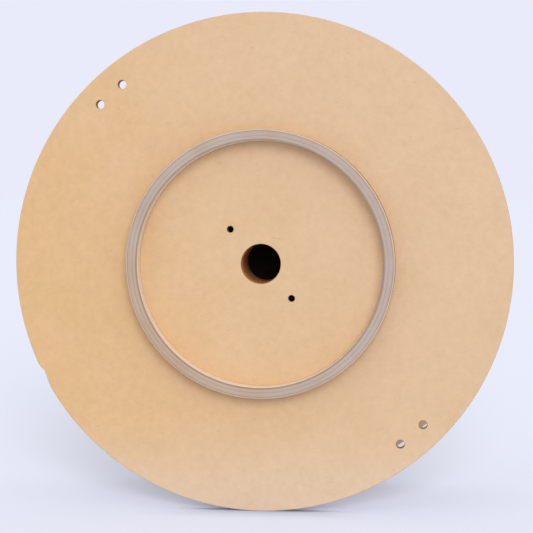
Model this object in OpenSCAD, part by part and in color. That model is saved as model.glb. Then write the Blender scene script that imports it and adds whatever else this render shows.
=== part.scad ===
// Cable reel of kraft board and wound paper tube, standing on the rims of its flanges.
// The origin is the middle of the axis. The axis lies level along Y, the front faces -Y and +Z is up.

/* [Flanges] */
// Outside diameter of each flange disc
flange_d = 400; // [300:5:600]
// Thickness of each flange board
flange_t = 8; // [4:0.5:14]
// Winding width between the two flanges
traverse = 110; // [60:5:240]

/* [Barrel tube] */
// Outside diameter of the wound paper tube
tube_d = 214; // [160:2:260]
// Wall of the wound paper tube
tube_wall = 9; // [5:0.5:14]
// Length of tube that stands out past each flange
tube_proud = 14; // [4:0.5:24]

/* [Hub discs] */
// Thickness of each hub board
hub_t = 10; // [6:0.5:16]
// Depth of the hub's face below the end of the tube
hub_recess = 14; // [6:0.5:24]
// Diameter of the arbor bore
bore_d = 32; // [20:1:50]
// Diameter of the two drive pin holes
drive_hole_d = 5.5; // [4:0.5:10]
// Pitch circle of the drive pin holes
drive_pcd = 74; // [66:1:140]

/* [Bore lining] */
// Wall of the paper sleeve behind each hub disc
sleeve_wall = 4; // [2:0.5:8]
// Thickness of the disc between the two sleeves, which closes the bore half-way
stop_t = 16; // [4:0.5:20]

/* [Cable holes] */
// Diameter of the holes that a cable's end is tied through
cable_hole_d = 7; // [4:0.5:14]
// Distance from the rim to the middle of a cable hole
cable_hole_edge = 18; // [10:1:30]
// Distance between the two holes of a pair
cable_hole_pitch = 24; // [16:1:50]
// Angle of the line that all holes lie on, seen from the front
hole_line_angle = 131.7; // [0:0.1:180]

/* [Edges and fits] */
// Break on the die-cut rims and the outer edges of the tube's ends
edge_break = 0.6; // [0.2:0.1:1.2]
// Glue line between a round piece and its seat
glue_gap = 0.15; // [0.05:0.05:0.4]

/* [Rim dent] */
// Angle of the dent in the front rim, seen from the front
dent_angle = 207; // [0:1:359]
// Length of the dent along the rim
dent_length = 18; // [6:1:30]
// Depth of the dent
dent_depth = 2.4; // [0.4:0.1:3]

/* [Hidden] */

$fn = 96;

kraft = "#deb887";
kraft_hub = "#e0bb8c";
wound_paper = "#beac9e";
sleeve_paper = "#a9855f";
stop_board = "#3b322b";

// Places along the axis, measured from the middle of the reel
flange_inner = traverse / 2;
flange_face = flange_inner + flange_t;
tube_end = flange_face + tube_proud;
hub_face = tube_end - hub_recess;
hub_inner = hub_face - hub_t;

tube_id = tube_d - 2 * tube_wall;
sleeve_r = bore_d / 2 + sleeve_wall;
cable_hole_r = flange_d / 2 - cable_hole_edge;
cable_half_angle = asin(cable_hole_pitch / 2 / cable_hole_r);

// Radius of a round dent from its chord and depth, and the place of its centre outside the rim
dent_r = (pow(dent_length / 2, 2) + pow(dent_depth, 2)) / (2 * dent_depth);
dent_centre_r = flange_d / 2 - dent_depth + dent_r;

// How far a cutter reaches past the faces that it cuts
over = 1;

// Turns a shape built along +Z so that its foot is at the middle of the reel and its top faces the front
module to_front() {
    rotate([90, 0, 0]) children();
}

// The same end of the reel at the back, with the holes on the line that shows from the front
module to_back() {
    mirror([0, 1, 0]) to_front() children();
}

// Round blank from z0 to z1 with the edges of its rim broken
module blank(r, z0, z1) {
    rotate_extrude()
        polygon([
            [0, z0],
            [r - edge_break, z0],
            [r, z0 + edge_break],
            [r, z1 - edge_break],
            [r - edge_break, z1],
            [0, z1]
        ]);
}

// Straight cutter along the axis that runs past z0 and z1
module through_cut(r, z0, z1) {
    translate([0, 0, z0 - over])
        cylinder(r = r, h = z1 - z0 + 2 * over);
}

// The same cutter set off from the axis by a radius and an angle
module hole_cut(d, offset_r, angle, z0, z1) {
    rotate(angle)
        translate([offset_r, 0, 0])
            through_cut(d / 2, z0, z1);
}

// Board ring that slides over the tube, with a pair of cable holes at each end of the hole line
module flange() {
    difference() {
        blank(flange_d / 2, flange_inner, flange_face);
        through_cut(tube_d / 2 + glue_gap, flange_inner, flange_face);
        for (side = [0, 180], half = [-1, 1]) {
            angle = hole_line_angle + side + half * cable_half_angle;
            hole_cut(cable_hole_d, cable_hole_r, angle, flange_inner, flange_face);
        }
    }
}

// Board disc that fits inside the tube, with the arbor bore and the drive pin holes
module hub() {
    difference() {
        blank(tube_id / 2 - glue_gap, hub_inner, hub_face);
        through_cut(bore_d / 2, hub_inner, hub_face);
        for (side = [0, 180])
            hole_cut(drive_hole_d, drive_pcd / 2, hole_line_angle + side, hub_inner, hub_face);
    }
}

module front_flange() {
    color(kraft)
        to_front()
            difference() {
                flange();
                hole_cut(2 * dent_r, dent_centre_r, dent_angle, flange_inner, flange_face);
            }
}

module back_flange() {
    color(kraft) to_back() flange();
}

module barrel_tube() {
    color(wound_paper)
        to_front()
            difference() {
                blank(tube_d / 2, -tube_end, tube_end);
                through_cut(tube_id / 2, -tube_end, tube_end);
            }
}

module front_hub() {
    color(kraft_hub) to_front() hub();
}

module back_hub() {
    color(kraft_hub) to_back() hub();
}

// Paper sleeve from the stop out to the back of a hub disc, in line with its bore
module sleeve() {
    difference() {
        translate([0, 0, stop_t / 2])
            cylinder(r = sleeve_r, h = hub_inner - stop_t / 2);
        through_cut(bore_d / 2, stop_t / 2, hub_inner);
    }
}

module front_sleeve() {
    color(sleeve_paper) to_front() sleeve();
}

module back_sleeve() {
    color(sleeve_paper) to_back() sleeve();
}

// Disc between the sleeves, which closes the bore and leaves a blind seat at each end
module bore_stop() {
    color(stop_board)
        to_front()
            translate([0, 0, -stop_t / 2])
                cylinder(r = sleeve_r, h = stop_t);
}

front_flange();
back_flange();
barrel_tube();
front_hub();
back_hub();
front_sleeve();
back_sleeve();
bore_stop();
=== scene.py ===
import math

import bmesh
import bpy
import numpy as np
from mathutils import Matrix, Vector


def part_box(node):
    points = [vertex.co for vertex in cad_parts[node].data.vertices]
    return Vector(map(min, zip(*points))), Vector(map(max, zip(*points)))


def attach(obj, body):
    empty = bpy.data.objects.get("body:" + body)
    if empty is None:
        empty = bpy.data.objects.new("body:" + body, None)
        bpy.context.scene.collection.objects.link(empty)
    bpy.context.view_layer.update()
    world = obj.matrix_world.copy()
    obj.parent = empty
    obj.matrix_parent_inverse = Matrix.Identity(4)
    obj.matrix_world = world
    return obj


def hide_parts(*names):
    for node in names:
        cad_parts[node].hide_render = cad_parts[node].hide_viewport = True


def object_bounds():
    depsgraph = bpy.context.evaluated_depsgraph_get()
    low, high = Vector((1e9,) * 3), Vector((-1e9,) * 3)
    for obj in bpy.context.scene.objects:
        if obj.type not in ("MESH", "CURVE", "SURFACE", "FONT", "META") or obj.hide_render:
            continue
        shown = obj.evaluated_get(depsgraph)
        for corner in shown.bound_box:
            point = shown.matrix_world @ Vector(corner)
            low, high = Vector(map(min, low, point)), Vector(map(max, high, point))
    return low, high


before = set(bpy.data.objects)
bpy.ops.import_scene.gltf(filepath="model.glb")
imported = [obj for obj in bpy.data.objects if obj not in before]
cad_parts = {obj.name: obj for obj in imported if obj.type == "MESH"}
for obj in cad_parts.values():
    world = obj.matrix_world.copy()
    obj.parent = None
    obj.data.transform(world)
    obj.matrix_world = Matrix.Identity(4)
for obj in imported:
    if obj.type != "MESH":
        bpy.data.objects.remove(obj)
cadBox = [list(corner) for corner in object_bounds()]
mm = 0.001
turn = 2 * math.pi
print("frame loaded:", sorted(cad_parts))


def depthsOf(node):
    # lowest and highest place of a CAD node along the reel's axis, in millimetres
    low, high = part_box(node)
    return round(low.y / mm, 3), round(high.y / mm, 3)


flangeInner, flangeFace = depthsOf("back_flange")
hubInner, hubFace = depthsOf("back_hub")
sleeveStart, sleeveEnd = depthsOf("back_sleeve")
tubeEnd = depthsOf("barrel_tube")[1]
stopHalf = depthsOf("bore_stop")[1]

# sizes in millimetres that several pieces share
boreRadius = 16.0
sleeveOuter = 20.0
tubeInner = 98.0
tubeOuter = 107.0
tubePly = 0.82
outerPly = 1.5  # the last ply of the tube, thicker than the others
boardPly = 1.6


# camera, standing a little above and to the right of the reel's axis

cameraLook = {
    "place": (0.10437, -1.12827, 0.05568),
    "heading": -5.351,  # degrees from +Y towards +X
    "rise": -3.089,
    "lens": 90.49,
    "sensor": 36.0,
    "nearest": 0.01,
    "farthest": 200.0,
}


def makeCamera(look):
    heading, rise = math.radians(look["heading"]), math.radians(look["rise"])
    ahead = Vector((math.sin(heading) * math.cos(rise), math.cos(heading) * math.cos(rise), math.sin(rise)))
    data = bpy.data.cameras.new("reelCamera")
    data.lens = look["lens"]
    data.sensor_width = look["sensor"]
    data.sensor_fit = "HORIZONTAL"
    data.clip_start, data.clip_end = look["nearest"], look["farthest"]
    camera = bpy.data.objects.new("reelCamera", data)
    camera.location = look["place"]
    camera.rotation_mode = "QUATERNION"
    camera.rotation_quaternion = ahead.to_track_quat("-Z", "Y")
    bpy.context.scene.collection.objects.link(camera)
    bpy.context.scene.camera = camera


makeCamera(cameraLook)
print("camera set")


# shader sums: a Wire holds one socket, and sums on wires add Math nodes to the tree

class Wire:
    def __init__(self, tree, socket=None):
        self.tree = tree
        self.socket = socket

    def put(self, kind, settings=None, feeds=None, out=0):
        # settings come first, because they can change which sockets a node has
        node = self.tree.nodes.new(kind)
        for key, value in (settings or {}).items():
            setattr(node, key, value)
        for key, value in (feeds or {}).items():
            if isinstance(value, Wire):
                self.tree.links.new(value.socket, node.inputs[key])
            else:
                node.inputs[key].default_value = value
        return Wire(self.tree, node.outputs[out])

    def sum(self, operation, *values):
        return self.put("ShaderNodeMath", {"operation": operation}, dict(enumerate(values)))

    def __add__(self, other):
        return self.sum("ADD", self, other)

    def __radd__(self, other):
        return self.sum("ADD", other, self)

    def __sub__(self, other):
        return self.sum("SUBTRACT", self, other)

    def __rsub__(self, other):
        return self.sum("SUBTRACT", other, self)

    def __mul__(self, other):
        return self.sum("MULTIPLY", self, other)

    def __rmul__(self, other):
        return self.sum("MULTIPLY", other, self)

    def __truediv__(self, other):
        return self.sum("DIVIDE", self, other)

    def step(self, low, high):
        # rises smoothly from 0 at low to 1 at high
        return self.put("ShaderNodeMapRange", {"interpolation_type": "SMOOTHSTEP"},
                        {0: self, 1: low, 2: high, 3: 0.0, 4: 1.0})

    def blend(self, first, second):
        # colour that goes from first to second as this wire goes from 0 to 1
        return self.put("ShaderNodeMix", {"data_type": "RGBA"}, {0: self, 6: first, 7: second}, out=2)

    def end(self, kind):
        # the output node that shows this wire
        output = self.tree.nodes.new(kind)
        self.tree.links.new(self.socket, output.inputs["Surface"])


def shade(red, green, blue):
    # display values from 0 to 255, as linear light
    levels = np.array([red, green, blue]) / 255.0
    light = np.where(levels > 0.04045, ((levels + 0.055) / 1.055) ** 2.4, levels / 12.92)
    return (*light.tolist(), 1.0)


def startMaterial(name):
    material = bpy.data.materials.new(name)
    material.use_nodes = True
    material.node_tree.nodes.clear()
    return material, Wire(material.node_tree)


def endMaterial(wire, colour, roughness, specular, height=None, bump=None, glow=None):
    # bump is the strength and the distance in metres
    feeds = {"Base Color": colour, "Roughness": roughness, "Specular IOR Level": specular}
    if glow is not None:
        feeds.update({"Emission Color": glow, "Emission Strength": 1.0})
    if height is not None:
        feeds["Normal"] = wire.put("ShaderNodeBump", None,
                                   {"Strength": bump[0], "Distance": bump[1], "Height": height})
    wire.put("ShaderNodeBsdfPrincipled", None, feeds).end("ShaderNodeOutputMaterial")


def objectPlace(wire):
    return wire.put("ShaderNodeTexCoord", None, None, out=3)


def stretched(wire, place, scale, turnBy=(0, 0, 0)):
    return wire.put("ShaderNodeMapping", None, {"Vector": place, "Rotation": turnBy, "Scale": scale})


def noise(wire, place, scale, detail, rough, distort=0.0):
    return wire.put("ShaderNodeTexNoise", None,
                    {"Vector": place, "Scale": scale, "Detail": detail, "Roughness": rough,
                     "Distortion": distort})


def splitPlace(wire, place):
    split = wire.put("ShaderNodeSeparateXYZ", None, {0: place})
    return [Wire(wire.tree, socket) for socket in split.socket.node.outputs]


def attribute(wire, name):
    return wire.put("ShaderNodeAttribute", {"attribute_name": name}, None, out=2)


# kraft-faced solid board: the pressed face, and the cut edge with its plies

kraftLook = {
    "warm": shade(212, 175, 130),
    "pale": shade(211, 182, 151),
    "fleck": shade(150, 108, 70),
    "edge": shade(186, 149, 112),
    "edgeDark": shade(138, 104, 74),
    "plyPitch": boardPly * mm,
    "litTowards": (0.80, 0.35),  # painted light: across X and up Z, the way the face gets paler towards the lit right and top
    "litFrom": -220.0 * mm, "litTo": 140.0 * mm,
    "foot": shade(214, 189, 164),  # painted bounce light from the floor: paler again towards the bottom, between these drops below the axis
    "footFrom": 115.0 * mm, "footTo": 200.0 * mm,
}


def makeKraft(name, look, grain):
    material, wire = startMaterial(name)
    place = objectPlace(wire)
    x, y, z = splitPlace(wire, place)
    cut = attribute(wire, "cut")

    # cloudy formation, streaks along the machine direction, and loose dark fibres
    cloud = noise(wire, stretched(wire, place, (1, 1, 1), grain), 22.0, 4.0, 0.5)
    mottle = noise(wire, place, 180.0, 3.0, 0.6)
    streak = noise(wire, stretched(wire, place, (110, 300, 900), grain), 1.0, 4.0, 0.6)
    fibre = noise(wire, stretched(wire, place, (700, 900, 2600), grain), 1.0, 2.0, 0.5, 0.6)
    fleckField = noise(wire, stretched(wire, place, (330, 500, 900), grain), 1.0, 1.0, 0.5, 1.2)
    fleck = fleckField.step(0.70, 0.78)

    # painted light: the face turns paler towards the lit right and top, mixed with its random cloudy tone
    across, upward = look["litTowards"]
    litRamp = (x * across + z * upward).step(look["litFrom"], look["litTo"])
    drift = (litRamp * 0.75 + cloud * 0.5 - 0.12).step(0.0, 1.0)
    paper = drift.blend(look["warm"], look["pale"])
    # painted bounce light from the floor: the boards turn paler towards the bottom
    paper = (z * -1.0).step(look["footFrom"], look["footTo"]).blend(paper, look["foot"])
    tone = 0.5 + (mottle - 0.5) * 0.20 + (streak - 0.5) * 0.06 + (fibre - 0.5) * 0.10 + (cloud - 0.5) * 0.08
    grey = wire.put("ShaderNodeCombineColor", None, {0: tone * 0.9 + 0.55, 1: tone * 0.96 + 0.52,
                                                     2: tone * 1.04 + 0.48})
    paper = wire.put("ShaderNodeMix", {"data_type": "RGBA", "blend_type": "MULTIPLY"},
                     {0: 1.0, 6: paper, 7: grey}, out=2)
    paper = (fleck * 0.28).blend(paper, look["fleck"])

    # plies on a cut edge run round it, so they are bands along the axis
    waver = noise(wire, stretched(wire, place, (60, 60, 60)), 1.0, 2.0, 0.5)
    layer = (wire.sum("ABSOLUTE", y) + (waver - 0.5) * (0.35 * mm)) / look["plyPitch"]
    saw = wire.sum("FRACT", layer)
    line = 1 - wire.sum("PINGPONG", saw, 0.5).step(0.0, 0.22)
    fuzz = noise(wire, stretched(wire, place, (900, 900, 900)), 1.0, 3.0, 0.6)
    edge = (line * 0.85 + (fuzz - 0.5) * 0.5 + 0.06).blend(look["edge"], look["edgeDark"])

    colour = cut.step(0.25, 0.75).blend(paper, edge)
    roughness = 0.86 + (mottle - 0.5) * 0.12 + cut * 0.06
    faceHeight = streak * 0.35 + fibre * 0.35 + mottle * 0.4 - fleck * 0.12
    height = faceHeight * (1 - cut) + (fuzz - line * 0.8) * cut
    endMaterial(wire, colour, roughness, 0.25, height, (0.35, 0.12 * mm))
    return material


# wound paper: kraft skins on the walls, grey plies on the sawn ends

woundLook = {
    "skin": shade(206, 170, 130),
    "skinDark": shade(172, 134, 96),
    "liner": shade(238, 222, 205),
    "core": shade(180, 167, 161),
    "coreDark": shade(140, 124, 116),
    "coreWarm": shade(181, 161, 147),
    "corePale": shade(204, 192, 184),
    # painted shade for the lower left of the sawn end
    "coreShadeBrown": shade(188, 152, 108),
    # dark of the joints, and the painted shade along the inner edge of the sawn end
    "jointAndShade": shade(112, 88, 68),
    "inner": tubeInner * mm,
    "outer": tubeOuter * mm,
    "plyPitch": tubePly * mm,
    "outerPly": outerPly * mm,
    "paintedShadeFrom": 33.3 * mm, "paintedShadeTo": 200.0 * mm,  # painted shade: browner towards the lower left, the side away from the light
}


def makeWound(name, look):
    material, wire = startMaterial(name)
    place = objectPlace(wire)
    x, _, z = splitPlace(wire, place)
    cut = attribute(wire, "cut")
    seam = attribute(wire, "seam")
    reach = wire.sum("SQRT", x * x + z * z)
    cloud = noise(wire, place, 30.0, 3.0, 0.55)
    waver = noise(wire, place, 45.0, 2.0, 0.5)
    grit = noise(wire, place, 950.0, 3.0, 0.6)
    streak = noise(wire, stretched(wire, place, (90, 500, 90)), 1.0, 3.0, 0.6)

    # sawn end: thin dark lines where the plies meet, the outer ply set off by a wider one
    layer = (reach - look["inner"] + (waver - 0.5) * (0.5 * mm)) / look["plyPitch"]
    line = 1 - wire.sum("PINGPONG", layer, 0.5).step(0.02, 0.2)
    faint = cloud.step(0.35, 0.65)
    outerLine = 1 - wire.sum("ABSOLUTE", reach - (look["outer"] - look["outerPly"])
                             + (waver - 0.5) * (0.3 * mm)).step(0.08 * mm, 0.34 * mm)
    # painted shade: the sawn end turns browner towards the lower left, away from the light; the warm core
    # tone also varies at random
    lowerLeftShade = ((x + z) * -1.0).step(look["paintedShadeFrom"], look["paintedShadeTo"])
    end = (cloud.step(0.3, 0.7) * 0.7 + lowerLeftShade * 0.3).blend(look["core"], look["coreWarm"])
    end = (lowerLeftShade * 0.4).blend(end, look["coreShadeBrown"])
    plyTone = wire.put("ShaderNodeTexWhiteNoise", {"noise_dimensions": "1D"},
                       {"W": wire.sum("FLOOR", layer)})
    end = (plyTone.step(0.45, 1.0) * 0.20).blend(end, look["corePale"])
    end = ((1 - plyTone.step(0.0, 0.55)) * 0.24).blend(end, look["coreDark"])
    end = (line * faint * 0.5 + (grit - 0.5) * 0.35 + 0.04).blend(end, look["coreDark"])
    end = (reach.step(look["outer"] - look["outerPly"], look["outer"]) * 0.55).blend(end, look["liner"])
    # painted shade: a dark band along the inner edge of the sawn end, by the shaded recess
    innerShade = 1 - reach.step(look["inner"] + 0.5 * mm, look["inner"] + 1.7 * mm)
    end = (innerShade * 0.45).blend(end, look["jointAndShade"])
    end = (outerLine * 0.35).blend(end, look["jointAndShade"])

    # walls: an even kraft skin outside, a paler liner inside, with the helical joint darker
    skin = (streak * 0.6 + cloud * 0.5 - 0.2).blend(look["skin"], look["skinDark"])
    bore = (streak * 0.5 + grit * 0.3 - 0.2).blend(look["liner"], look["skin"])
    wall = reach.step(look["inner"] + 2 * mm, look["outer"] - 3 * mm).blend(bore, skin)
    wall = (seam * 0.75).blend(wall, look["jointAndShade"])

    colour = cut.step(0.3, 0.7).blend(wall, end)
    roughness = 0.88 + (grit - 0.5) * 0.14
    height = (grit * 0.6 - line * 0.5 - outerLine * 0.8) * cut + (streak * 0.4 + grit * 0.2) * (1 - cut)
    endMaterial(wire, colour, roughness, 0.25, height, (0.4, 0.12 * mm))
    return material


# plain paper sleeves deep in the bore, and the stop between them, whose near-black colour is painted shade

sleeveLook = {
    "paper": shade(190, 130, 72),
    "streakDark": shade(160, 100, 48),
    "joint": 38.0 * mm,
}
# near black: painted shade, standing in for the darkness deep in the bore; the mottle varies at random
stopLook = {
    "board": shade(14, 12, 11),
    "worn": shade(24, 21, 19),
}


def makeSleeve(name, look):
    material, wire = startMaterial(name)
    place = objectPlace(wire)
    x, y, z = splitPlace(wire, place)
    streak = noise(wire, stretched(wire, place, (220, 700, 220)), 1.0, 3.0, 0.6)
    grit = noise(wire, place, 1100.0, 2.0, 0.6)
    winding = wire.sum("FRACT", y / look["joint"] + wire.sum("ARCTAN2", z, x) / turn)
    joint = 1 - wire.sum("PINGPONG", winding, 0.5).step(0.0, 0.02)
    colour = (streak * 0.7 + joint * 0.4).blend(look["paper"], look["streakDark"])
    roughness = 0.88 + (grit - 0.5) * 0.1
    height = streak * 0.5 + grit * 0.4 - joint
    endMaterial(wire, colour, roughness, 0.2, height, (0.4, 0.1 * mm))
    return material


def makeStop(name, look):
    material, wire = startMaterial(name)
    place = objectPlace(wire)
    mottle = noise(wire, place, 260.0, 3.0, 0.6)
    grit = noise(wire, place, 1500.0, 2.0, 0.6)
    colour = mottle.step(0.35, 0.8).blend(look["board"], look["worn"])
    roughness = 0.9 + (grit - 0.5) * 0.08
    height = mottle * 0.5 + grit * 0.5
    endMaterial(wire, colour, roughness, 0.15, height, (0.4, 0.1 * mm))
    return material


print("materials ready")


# meshes: every piece is a set of point grids, joined where their borders share places

weldGrid = 0.0005 * mm  # points that fall on the same place of this grid are one point
cornerRows = 6  # rows round a rolled edge


def ringPoints(radius, depth, angle):
    # a point at that radius and angle round the Y axis, and that depth along it
    return np.stack(np.broadcast_arrays(radius * np.cos(angle), depth, radius * np.sin(angle)), axis=-1)


def gridFaces(rows, columns, closed):
    # four corners of every cell of a grid, the last column joined to the first where it is closed
    i, j = np.meshgrid(np.arange(rows - 1), np.arange(columns if closed else columns - 1), indexing="ij")
    k = (j + 1) % columns
    return np.stack([i * columns + j, i * columns + k, (i + 1) * columns + k, (i + 1) * columns + j], axis=-1)


def joinGrids(name, parts, material, node):
    # each part is points (rows, columns, 3), faces (n, 4) and a dictionary of values (rows, columns)
    starts = np.cumsum([0] + [p[0].reshape(-1, 3).shape[0] for p in parts])
    points = np.concatenate([p[0].reshape(-1, 3) for p in parts])
    faces = np.concatenate([p[1].reshape(-1, 4) + s for p, s in zip(parts, starts)])
    _, first, same = np.unique(np.round(points / weldGrid).astype(np.int64), axis=0,
                               return_index=True, return_inverse=True)
    faces = same.reshape(-1)[faces]
    twins = faces == np.roll(faces, -1, axis=1)
    quads = faces[twins.sum(axis=1) == 0]
    single = twins.sum(axis=1) == 1
    threes = faces[single][~twins[single]].reshape(-1, 3)
    mesh = bpy.data.meshes.new(name)
    mesh.from_pydata(points[first].tolist(), [], quads.tolist() + threes.tolist())
    mesh.validate()
    work = bmesh.new()
    work.from_mesh(mesh)
    bmesh.ops.recalc_face_normals(work, faces=work.faces[:])
    work.to_mesh(mesh)
    work.free()
    for key in parts[0][2]:
        values = np.concatenate([np.broadcast_to(p[2][key], p[0].shape[:-1]).reshape(-1) for p in parts])
        layer = mesh.attributes.new(key, "FLOAT", "POINT")
        layer.data.foreach_set("value", values[first].astype(np.float32))
    mesh.polygons.foreach_set("use_smooth", np.ones(len(mesh.polygons), dtype=bool))
    mesh.materials.append(material)
    mesh.update()
    piece = bpy.data.objects.new(name, mesh)
    bpy.context.scene.collection.objects.link(piece)
    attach(piece, "root")
    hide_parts(node)
    print(name, "has", len(mesh.polygons), "faces")
    return piece


def roundedCorner(count):
    # quarter circle from 0 to 1: how far in across the face, and how far down the wall
    bend = np.linspace(0, math.pi / 2, count)
    return 1 - np.sin(bend), 1 - np.cos(bend)


# drilled board: two faces on a polar grid, a rim and a bore carried round the axis, and each small hole a
# profile carried round its own middle that takes the place of a window in both faces

flangeLook = {
    "bore": 107.15, "rim": 200.0, "inner": flangeInner, "outer": flangeFace,
    "rimRoll": 0.6, "boreRoll": 0.3, "holeRoll": 0.45,
    "holeRadius": 3.5, "holeCircle": 182.0, "windowHalf": 7.0, "windowCells": 10,
    "holeAngles": (127.92, 135.48, 307.92, 315.48),
    "plyPitch": boardPly, "plyDepth": 0.07,
    "stepDegrees": 1.0, "stepRadius": 3.6, "warp": 0.16,
}
hubLook = {
    "bore": boreRadius, "rim": 97.95, "inner": hubInner, "outer": hubFace,
    "rimRoll": 0.2, "boreRoll": 0.45, "holeRoll": 0.4,
    "holeRadius": 2.75, "holeCircle": 37.0, "windowHalf": 6.0, "windowCells": 10,
    "holeAngles": (131.7, 311.7),
    "plyPitch": boardPly, "plyDepth": 0.06,
    "stepDegrees": 1.5, "stepRadius": 3.6, "warp": 0.08,
}
dentLook = {
    "start": 204.9, "deepest": 206.1, "end": 210.4,  # degrees round the front rim
    "depth": 2.3, "reach": 14.0,
}
wallRows = 27  # rows down a cut edge, between its two rolled edges
closingRows = 6  # rows from the border of a hole's window in to its mouth
edgeRows = (0.3, 0.9)  # from a rolled edge to the two rows that keep its shading narrow
plyGroove = 0.16  # half width of the grooves in a cut edge, in plies
bowPhases = {-1: 1.7, 1: 4.1}  # radians, so that the two ends bow differently


def spread(start, end, step):
    # even values from start up to, and without, end
    count = max(1, int(math.ceil((end - start) / step - 1e-6)))
    return start + (end - start) * np.arange(count) / count


def boardAngles(look):
    # columns: even cells over each hole's window, and even steps between the windows
    half = math.degrees(look["windowHalf"] / look["holeCircle"])
    middles = sorted(look["holeAngles"])
    runs, windows, count = [], [], 0
    for here, following in zip(middles, middles[1:] + [middles[0] + 360]):
        window = spread(here - half, here + half, 2 * half / look["windowCells"])
        between = spread(here + half, following - half, look["stepDegrees"])
        windows.append((count, here))
        runs += [window, between]
        count += len(window) + len(between)
    return np.radians(np.concatenate(runs)), windows


def boardRadii(look):
    half = look["windowHalf"]
    low, high = look["holeCircle"] - half, look["holeCircle"] + half
    inside, outside = look["bore"] + look["boreRoll"], look["rim"] - look["rimRoll"]
    near, off = edgeRows
    rows = [
        [inside, inside + near],
        spread(inside + off, low, look["stepRadius"]),
        spread(low, high, 2 * half / look["windowCells"]),
        spread(high, outside - off, look["stepRadius"]),
        [outside - off, outside - near, outside],
    ]
    start = len(rows[0]) + len(rows[1])
    return np.concatenate(rows), start


def dentAt(angle, dent):
    # depth of the dent round the rim: a steep step at its start, then a straight run back out
    degrees = np.degrees(angle) % 360
    fall = np.clip((degrees - dent["start"]) / (dent["deepest"] - dent["start"]), 0, 1)
    back = np.clip((dent["end"] - degrees) / (dent["end"] - dent["deepest"]), 0, 1)
    return dent["depth"] * (fall * fall * (3 - 2 * fall)) * back


def makeBoard(name, look, side, material, node, dent=None):
    angle, windows = boardAngles(look)
    radii, startRow = boardRadii(look)
    cells = look["windowCells"]
    thick = look["outer"] - look["inner"]
    phase = bowPhases[side]

    def place(radius, depth, theta):
        # depth runs from 0 at the inner face to the thickness at the outer one; the board bows by long
        # waves, and a dent draws the outer part of the rim in
        bow = look["warp"] * (np.sin(2 * theta + phase) * 0.6 + np.sin(3 * theta - phase) * 0.4)
        bow = bow * (radius / look["rim"]) ** 2
        if dent is not None:
            pull = np.clip((radius - look["rim"] + dent["reach"]) / dent["reach"], 0, 1) ** 2
            radius = radius - dentAt(theta, dent) * pull
        return ringPoints(radius, side * (look["inner"] + depth + bow), theta) * mm

    # both faces
    keep = np.ones((len(radii) - 1, len(angle)), dtype=bool)
    for startColumn, _ in windows:
        keep[startRow:startRow + cells, startColumn:startColumn + cells] = False
    faceCells = gridFaces(len(radii), len(angle), True)[keep]
    across, around = radii[:, None], angle[None, :]
    parts = [(place(across, depth, around), faceCells, {"cut": np.zeros((1, 1))}) for depth in (0.0, thick)]

    # a wall's profile: rolled at both faces, with shallow grooves where its plies meet
    def wallProfile(roll, inward):
        inset, drop = roundedCorner(cornerRows)
        level = np.linspace(roll, thick - roll, wallRows + 2)[1:-1]
        spot = (level / look["plyPitch"]) % 1
        groove = look["plyDepth"] * np.exp(-((spot - 0.5) / plyGroove) ** 2)
        setBack = np.concatenate([inset * roll, groove, inset[::-1] * roll])
        depth = np.concatenate([drop * roll, level, thick - drop[::-1] * roll])
        fade = np.linspace(0, 1, cornerRows)
        amount = np.concatenate([fade, np.ones(len(level)), fade[::-1]])
        return inward * setBack, depth, amount

    for radius, roll, inward in ((look["rim"], look["rimRoll"], -1), (look["bore"], look["boreRoll"], 1)):
        setBack, depth, amount = wallProfile(roll, inward)
        points = place((radius + setBack)[:, None], depth[:, None], around)
        parts.append((points, gridFaces(len(depth), len(angle), True), {"cut": amount[:, None]}))

    # small holes: from the border of the window in to the mouth, down the wall and out again
    setBack, depth, amount = wallProfile(look["holeRoll"], 1)
    edge = np.arange(cells)
    rowIndex = np.concatenate([0 * edge, edge, 0 * edge + cells, cells - edge]) + startRow
    columnStep = np.concatenate([edge, 0 * edge + cells, cells - edge, 0 * edge])
    closing = np.linspace(0, 1, closingRows + 1)[:-1, None]
    for startColumn, middle in windows:
        theta = angle[(startColumn + columnStep) % len(angle)]
        radius = radii[rowIndex]
        borderX, borderZ = radius * np.cos(theta), radius * np.sin(theta)
        middleX = look["holeCircle"] * math.cos(math.radians(middle))
        middleZ = look["holeCircle"] * math.sin(math.radians(middle))
        bearing = np.arctan2(borderZ - middleZ, borderX - middleX)
        distance = np.hypot(borderX - middleX, borderZ - middleZ)
        mouth = look["holeRadius"] + look["holeRoll"]
        inRun = distance[None, :] + (mouth - distance[None, :]) * closing
        wallRun = np.repeat((look["holeRadius"] + setBack)[:, None], len(bearing), axis=1)
        run = np.concatenate([inRun, wallRun, inRun[::-1]])
        level = np.concatenate([np.zeros(closingRows), depth, np.full(closingRows, thick)])
        share = np.pad(amount, closingRows)
        holeX = middleX + run * np.cos(bearing)[None, :]
        holeZ = middleZ + run * np.sin(bearing)[None, :]
        points = place(np.hypot(holeX, holeZ), level[:, None], np.arctan2(holeZ, holeX))
        parts.append((points, gridFaces(len(run), len(bearing), True), {"cut": share[:, None]}))

    return joinGrids(name, parts, material, node)


flangeKraft = makeKraft("flangeKraft", kraftLook, (0.0, 0.5, 0.0))
hubKraft = makeKraft("hubKraft", kraftLook, (0.0, 1.9, 0.0))
makeBoard("frontFlangeBoard", flangeLook, -1, flangeKraft, "front_flange", dentLook)
makeBoard("backFlangeBoard", flangeLook, 1, flangeKraft, "back_flange")
makeBoard("frontHubBoard", hubLook, -1, hubKraft, "front_hub")
makeBoard("backHubBoard", hubLook, 1, hubKraft, "back_hub")
print("boards made")


# wound tube: both walls and both sawn ends; the outer skin's rows follow the winding, so that its joint is a
# real groove, and every row that runs past an end stops there

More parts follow.
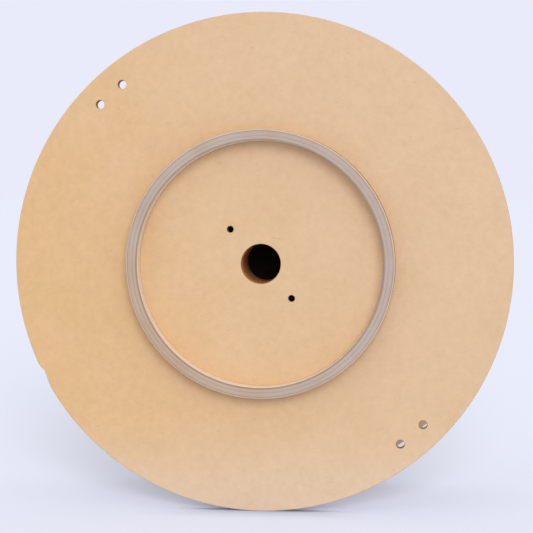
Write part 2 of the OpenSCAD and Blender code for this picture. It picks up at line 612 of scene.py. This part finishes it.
tubeLook = {
    "inner": tubeInner, "outer": tubeOuter, "end": tubeEnd,
    "roll": 1.3, "innerRoll": 0.35,
    "columns": 360, "rowStep": 3.0, "endRows": 72, "linerRows": 25,
    "lead": 96.0, "leads": 4,  # how far the skin winds in one turn, and how many such runs cover the tube
    "jointWidth": 0.7, "jointDepth": 0.22, "jointFade": 2.0,
    "plyPitch": tubePly, "plyDepth": 0.05, "plyStep": 0.06, "plyGroove": 0.14,
    "outerPly": outerPly, "outerGap": 0.28, "gapWidth": 0.22,
    "sawDepth": 0.035, "sawFade": 0.2,
    "seed": 11,
}


def makeTube(name, look, material, node):
    columns = look["columns"]
    angle = np.linspace(0, turn, columns + 1)[None, :]
    outer, inner, end, roll = look["outer"], look["inner"], look["end"], look["roll"]
    limit = end - roll

    # outer skin: one lead of rows, with fine rows by the joint, repeated along the axis and tilted by the
    # winding
    width = look["jointWidth"]
    fine = width * np.array([-1.6, -1.0, -0.6, -0.3, 0.0, 0.3, 0.6, 1.0, 1.6])
    lead = np.concatenate([fine, spread(fine[-1], look["lead"] + fine[0], look["rowStep"])[1:]])
    groove = look["jointDepth"] * np.exp(-(lead / (0.45 * width)) ** 2)
    repeats = (np.arange(look["leads"]) - look["leads"] // 2)[:, None] * look["lead"]
    along = (repeats + lead[None, :]).reshape(-1)
    depth = np.tile(groove, look["leads"])
    rise = along[:, None] + look["lead"] * angle / turn
    level = np.clip(rise, -limit, limit)
    inside = np.clip((limit - np.abs(level)) / look["jointFade"], 0, 1)
    wall = ringPoints(outer - depth[:, None] * inside, level, angle) * mm
    seam = np.repeat((depth / look["jointDepth"])[:, None], columns + 1, axis=1) * inside
    blank = np.zeros((1, 1))
    parts = [(wall, gridFaces(len(along), columns + 1, False), {"cut": blank, "seam": seam})]

    # sawn end: each ply stands a little higher or lower, with a groove at its edge and a wider one by the
    # outer ply, whose strength changes round the ring
    random = np.random.default_rng(look["seed"])
    offset = np.linspace(0, 1, look["endRows"])
    radius = inner + look["innerRoll"] + (outer - roll - inner - look["innerRoll"]) * offset
    ply = np.floor((radius - inner) / look["plyPitch"]).astype(int)
    heights = random.uniform(0, look["plyStep"], ply.max() + 1)
    spot = ((radius - inner) / look["plyPitch"]) % 1
    narrow = look["plyGroove"]
    notch = look["plyDepth"] * (np.exp(-(spot / narrow) ** 2) + np.exp(-((1 - spot) / narrow) ** 2))
    gapRun = np.exp(-((radius - outer + look["outerPly"]) / look["gapWidth"]) ** 2)
    strength = 0.6 + 0.3 * np.sin(angle + 0.6) * np.cos(2 * angle) + 0.1 * np.sin(5 * angle)
    ragged = 0.02 * np.sin(37 * angle + 5 * radius[:, None])
    ragged = ragged + 0.015 * np.sin(83 * angle + 9 * radius[:, None])
    edgeFade = np.minimum(np.clip((radius - inner - look["innerRoll"]) / look["sawFade"], 0, 1),
                          np.clip((outer - roll - radius) / look["sawFade"], 0, 1))[:, None]
    sunk = (heights[ply] + notch)[:, None] + look["outerGap"] * gapRun[:, None] * strength
    sunk = (sunk + ragged + look["sawDepth"]) * edgeFade
    inset, drop = roundedCorner(cornerRows)
    small = look["innerRoll"]
    turnFaces = gridFaces(cornerRows, columns + 1, False)
    fade = np.linspace(0, 1, cornerRows)[:, None]
    for side in (-1, 1):
        face = ringPoints(radius[:, None], side * (end - sunk), angle) * mm
        parts.append((face, gridFaces(len(radius), columns + 1, False), {"cut": blank + 1, "seam": blank}))
        outerTurn = ringPoints((outer - roll * inset)[:, None],
                               side * (end - roll * drop)[:, None], angle) * mm
        parts.append((outerTurn, turnFaces, {"cut": 1 - fade, "seam": blank}))
        # the inner edge keeps the sawn look nearly to the wall
        innerTurn = ringPoints((inner + small * inset)[:, None],
                               side * (end - small * drop)[:, None], angle) * mm
        parts.append((innerTurn, turnFaces, {"cut": 1 - fade ** 5, "seam": blank}))

    # inner liner
    level = np.linspace(-(end - small), end - small, look["linerRows"])[:, None]
    liner = ringPoints(np.full_like(level, inner), level, angle) * mm
    parts.append((liner, gridFaces(len(level), columns + 1, False), {"cut": blank, "seam": blank}))
    return joinGrids(name, parts, material, node)


woundPaper = makeWound("woundPaper", woundLook)
makeTube("woundTube", tubeLook, woundPaper, "barrel_tube")
print("tube made")


# sleeves and stop: closed profiles carried round the axis

coreLook = {
    "sleeveInner": boreRadius, "sleeveOuter": sleeveOuter, "sleeveStart": sleeveStart, "sleeveEnd": sleeveEnd,
    "sleeveRows": 23, "sleeveEndRows": 7,
    "stopRadius": sleeveOuter, "stopHalf": stopHalf, "stopRoll": 0.3,
    "stopRows": 9, "stopCornerRows": 5,
    "columns": 128,
}


def makeTurned(name, profile, material, node, columns):
    # profile is a run of (radius, depth); the point goes round the axis once for each of them
    angle = np.linspace(0, turn, columns + 1)[None, :]
    radius, depth = np.array(profile).T
    points = ringPoints(radius[:, None], depth[:, None], angle) * mm
    parts = [(points, gridFaces(len(radius), columns + 1, False), {})]
    return joinGrids(name, parts, material, node)


def sleeveProfile(look, side):
    inner, outer = look["sleeveInner"], look["sleeveOuter"]
    start, end = look["sleeveStart"], look["sleeveEnd"]
    levels = np.linspace(start, end, look["sleeveRows"])
    across = np.linspace(inner, outer, look["sleeveEndRows"])
    run = [(inner, v) for v in levels[::-1]] + [(r, start) for r in across[1:-1]]
    run += [(outer, v) for v in levels] + [(r, end) for r in across[::-1][1:]]
    return [(radius, side * depth) for radius, depth in run]


def stopProfile(look):
    radius, half, roll = look["stopRadius"], look["stopHalf"], look["stopRoll"]
    inset, drop = roundedCorner(look["stopCornerRows"])
    run = [(r, -half) for r in np.linspace(0, radius - roll, look["stopRows"])[:-1]]
    run += [(radius - roll * a, -half + roll * b) for a, b in zip(inset, drop)]
    return run + [(r, -v) for r, v in run[::-1]]


sleevePaper = makeSleeve("sleevePaper", sleeveLook)
shadeBlackStop = makeStop("shadeBlackStop", stopLook)
around = coreLook["columns"]
for end, side in (("front", -1), ("back", 1)):
    makeTurned(end + "SleeveTube", sleeveProfile(coreLook, side), sleevePaper,
               end + "_sleeve", around)
makeTurned("boreStopDisc", stopProfile(coreLook), shadeBlackStop, "bore_stop", around)
print("sleeves and stop made")


# plain pale floor and soft light

stageLook = {
    "floor": (0.34, 0.36, 0.41, 1.0),
    "floorContactShade": (0.16, 0.145, 0.17, 1.0),  # painted contact shadow, close under a rim
    "floorGlow": (0.284, 0.294, 0.376, 1.0),  # thins the floor's shadows
    # glow in the painted contact shadow
    "glowContactShade": (0.05, 0.055, 0.10, 1.0),
    "glowBelow": (0.15, 0.14, 0.15, 1.0),  # the part of the glow that lights the reel
    "nearReach": 60.0 * mm, "nearFrom": 0.3, "nearTo": 0.75,
    "floorHalf": 60.0,
    "sky": shade(233, 235, 250),
    "fillLow": (0.72, 0.68, 0.62, 1.0),  # level light
    "fillHigh": (1.09, 1.025, 0.92, 1.0),  # light from straight above
    "sunFrom": (0.22, -0.90, 0.38),  # from the front, a little to the right and above
    "sunStrength": 1.38,
    "sunAngle": 36.0,
    "sunTint": (0.97, 0.985, 1.0),
    "floorSunFrom": (0.14, -0.90, 0.34),  # lights the floor alone, so that its shadow falls behind the rim
    "floorSunStrength": 4.1,
    "floorSunAngle": 28.0,
}


def addSun(name, towards, strength, angle, tint):
    data = bpy.data.lights.new(name, "SUN")
    data.energy = strength
    data.angle = math.radians(angle)
    data.color = tint
    sun = bpy.data.objects.new(name, data)
    sun.rotation_mode = "QUATERNION"
    sun.rotation_quaternion = Vector(towards).to_track_quat("Z", "Y")
    bpy.context.scene.collection.objects.link(sun)
    return sun


def makeFloor(look):
    half = look["floorHalf"]
    low = cadBox[0][2]
    mesh = bpy.data.meshes.new("paleFloor")
    mesh.from_pydata([(-half, -half, low), (half, -half, low), (half, half, low), (-half, half, low)], [],
                     [(0, 1, 2, 3)])
    material, wire = startMaterial("paleFloor")
    # the share of open space close above a place on the floor, so that a rim has a contact shadow
    near = wire.put("ShaderNodeAmbientOcclusion", {"samples": 8}, {"Distance": look["nearReach"]}, out="AO")
    lit = near.step(look["nearFrom"], look["nearTo"])
    # the glow is weaker for the reel than for the camera, so that less light comes from below
    seen = wire.put("ShaderNodeLightPath", None, None, out="Is Camera Ray")
    glow = seen.blend(look["glowBelow"], lit.blend(look["glowContactShade"], look["floorGlow"]))
    endMaterial(wire, lit.blend(look["floorContactShade"], look["floor"]), 0.9, 0.0, glow=glow)
    mesh.materials.append(material)
    floor = bpy.data.objects.new("paleFloor", mesh)
    bpy.context.scene.collection.objects.link(floor)
    return floor


def makeSky(look):
    # what shows behind the reel is the pale backdrop, and what lights it is a soft, warm fill
    world = bpy.data.worlds.new("paleSky")
    world.use_nodes = True
    world.node_tree.nodes.clear()
    wire = Wire(world.node_tree)
    seen = wire.put("ShaderNodeLightPath", None, None, out="Is Camera Ray")
    upward = splitPlace(wire, wire.put("ShaderNodeTexCoord", None, None, out="Generated"))[2]
    fill = upward.blend(look["fillLow"], look["fillHigh"])
    shown = seen.blend(fill, look["sky"])
    wire.put("ShaderNodeBackground", None, {"Color": shown}).end("ShaderNodeOutputWorld")
    bpy.context.scene.world = world


def makeLights(look, floor):
    addSun("softKey", look["sunFrom"], look["sunStrength"], look["sunAngle"], look["sunTint"])
    floorSun = addSun("floorKey", look["floorSunFrom"], look["floorSunStrength"], look["floorSunAngle"],
                      look["sunTint"])
    floorOnly = bpy.data.collections.new("floorOnly")
    floorOnly.objects.link(floor)
    floorSun.light_linking.receiver_collection = floorOnly


makeLights(stageLook, makeFloor(stageLook))
makeSky(stageLook)
bpy.context.scene.view_settings.view_transform = "Standard"
print("stage and light set")
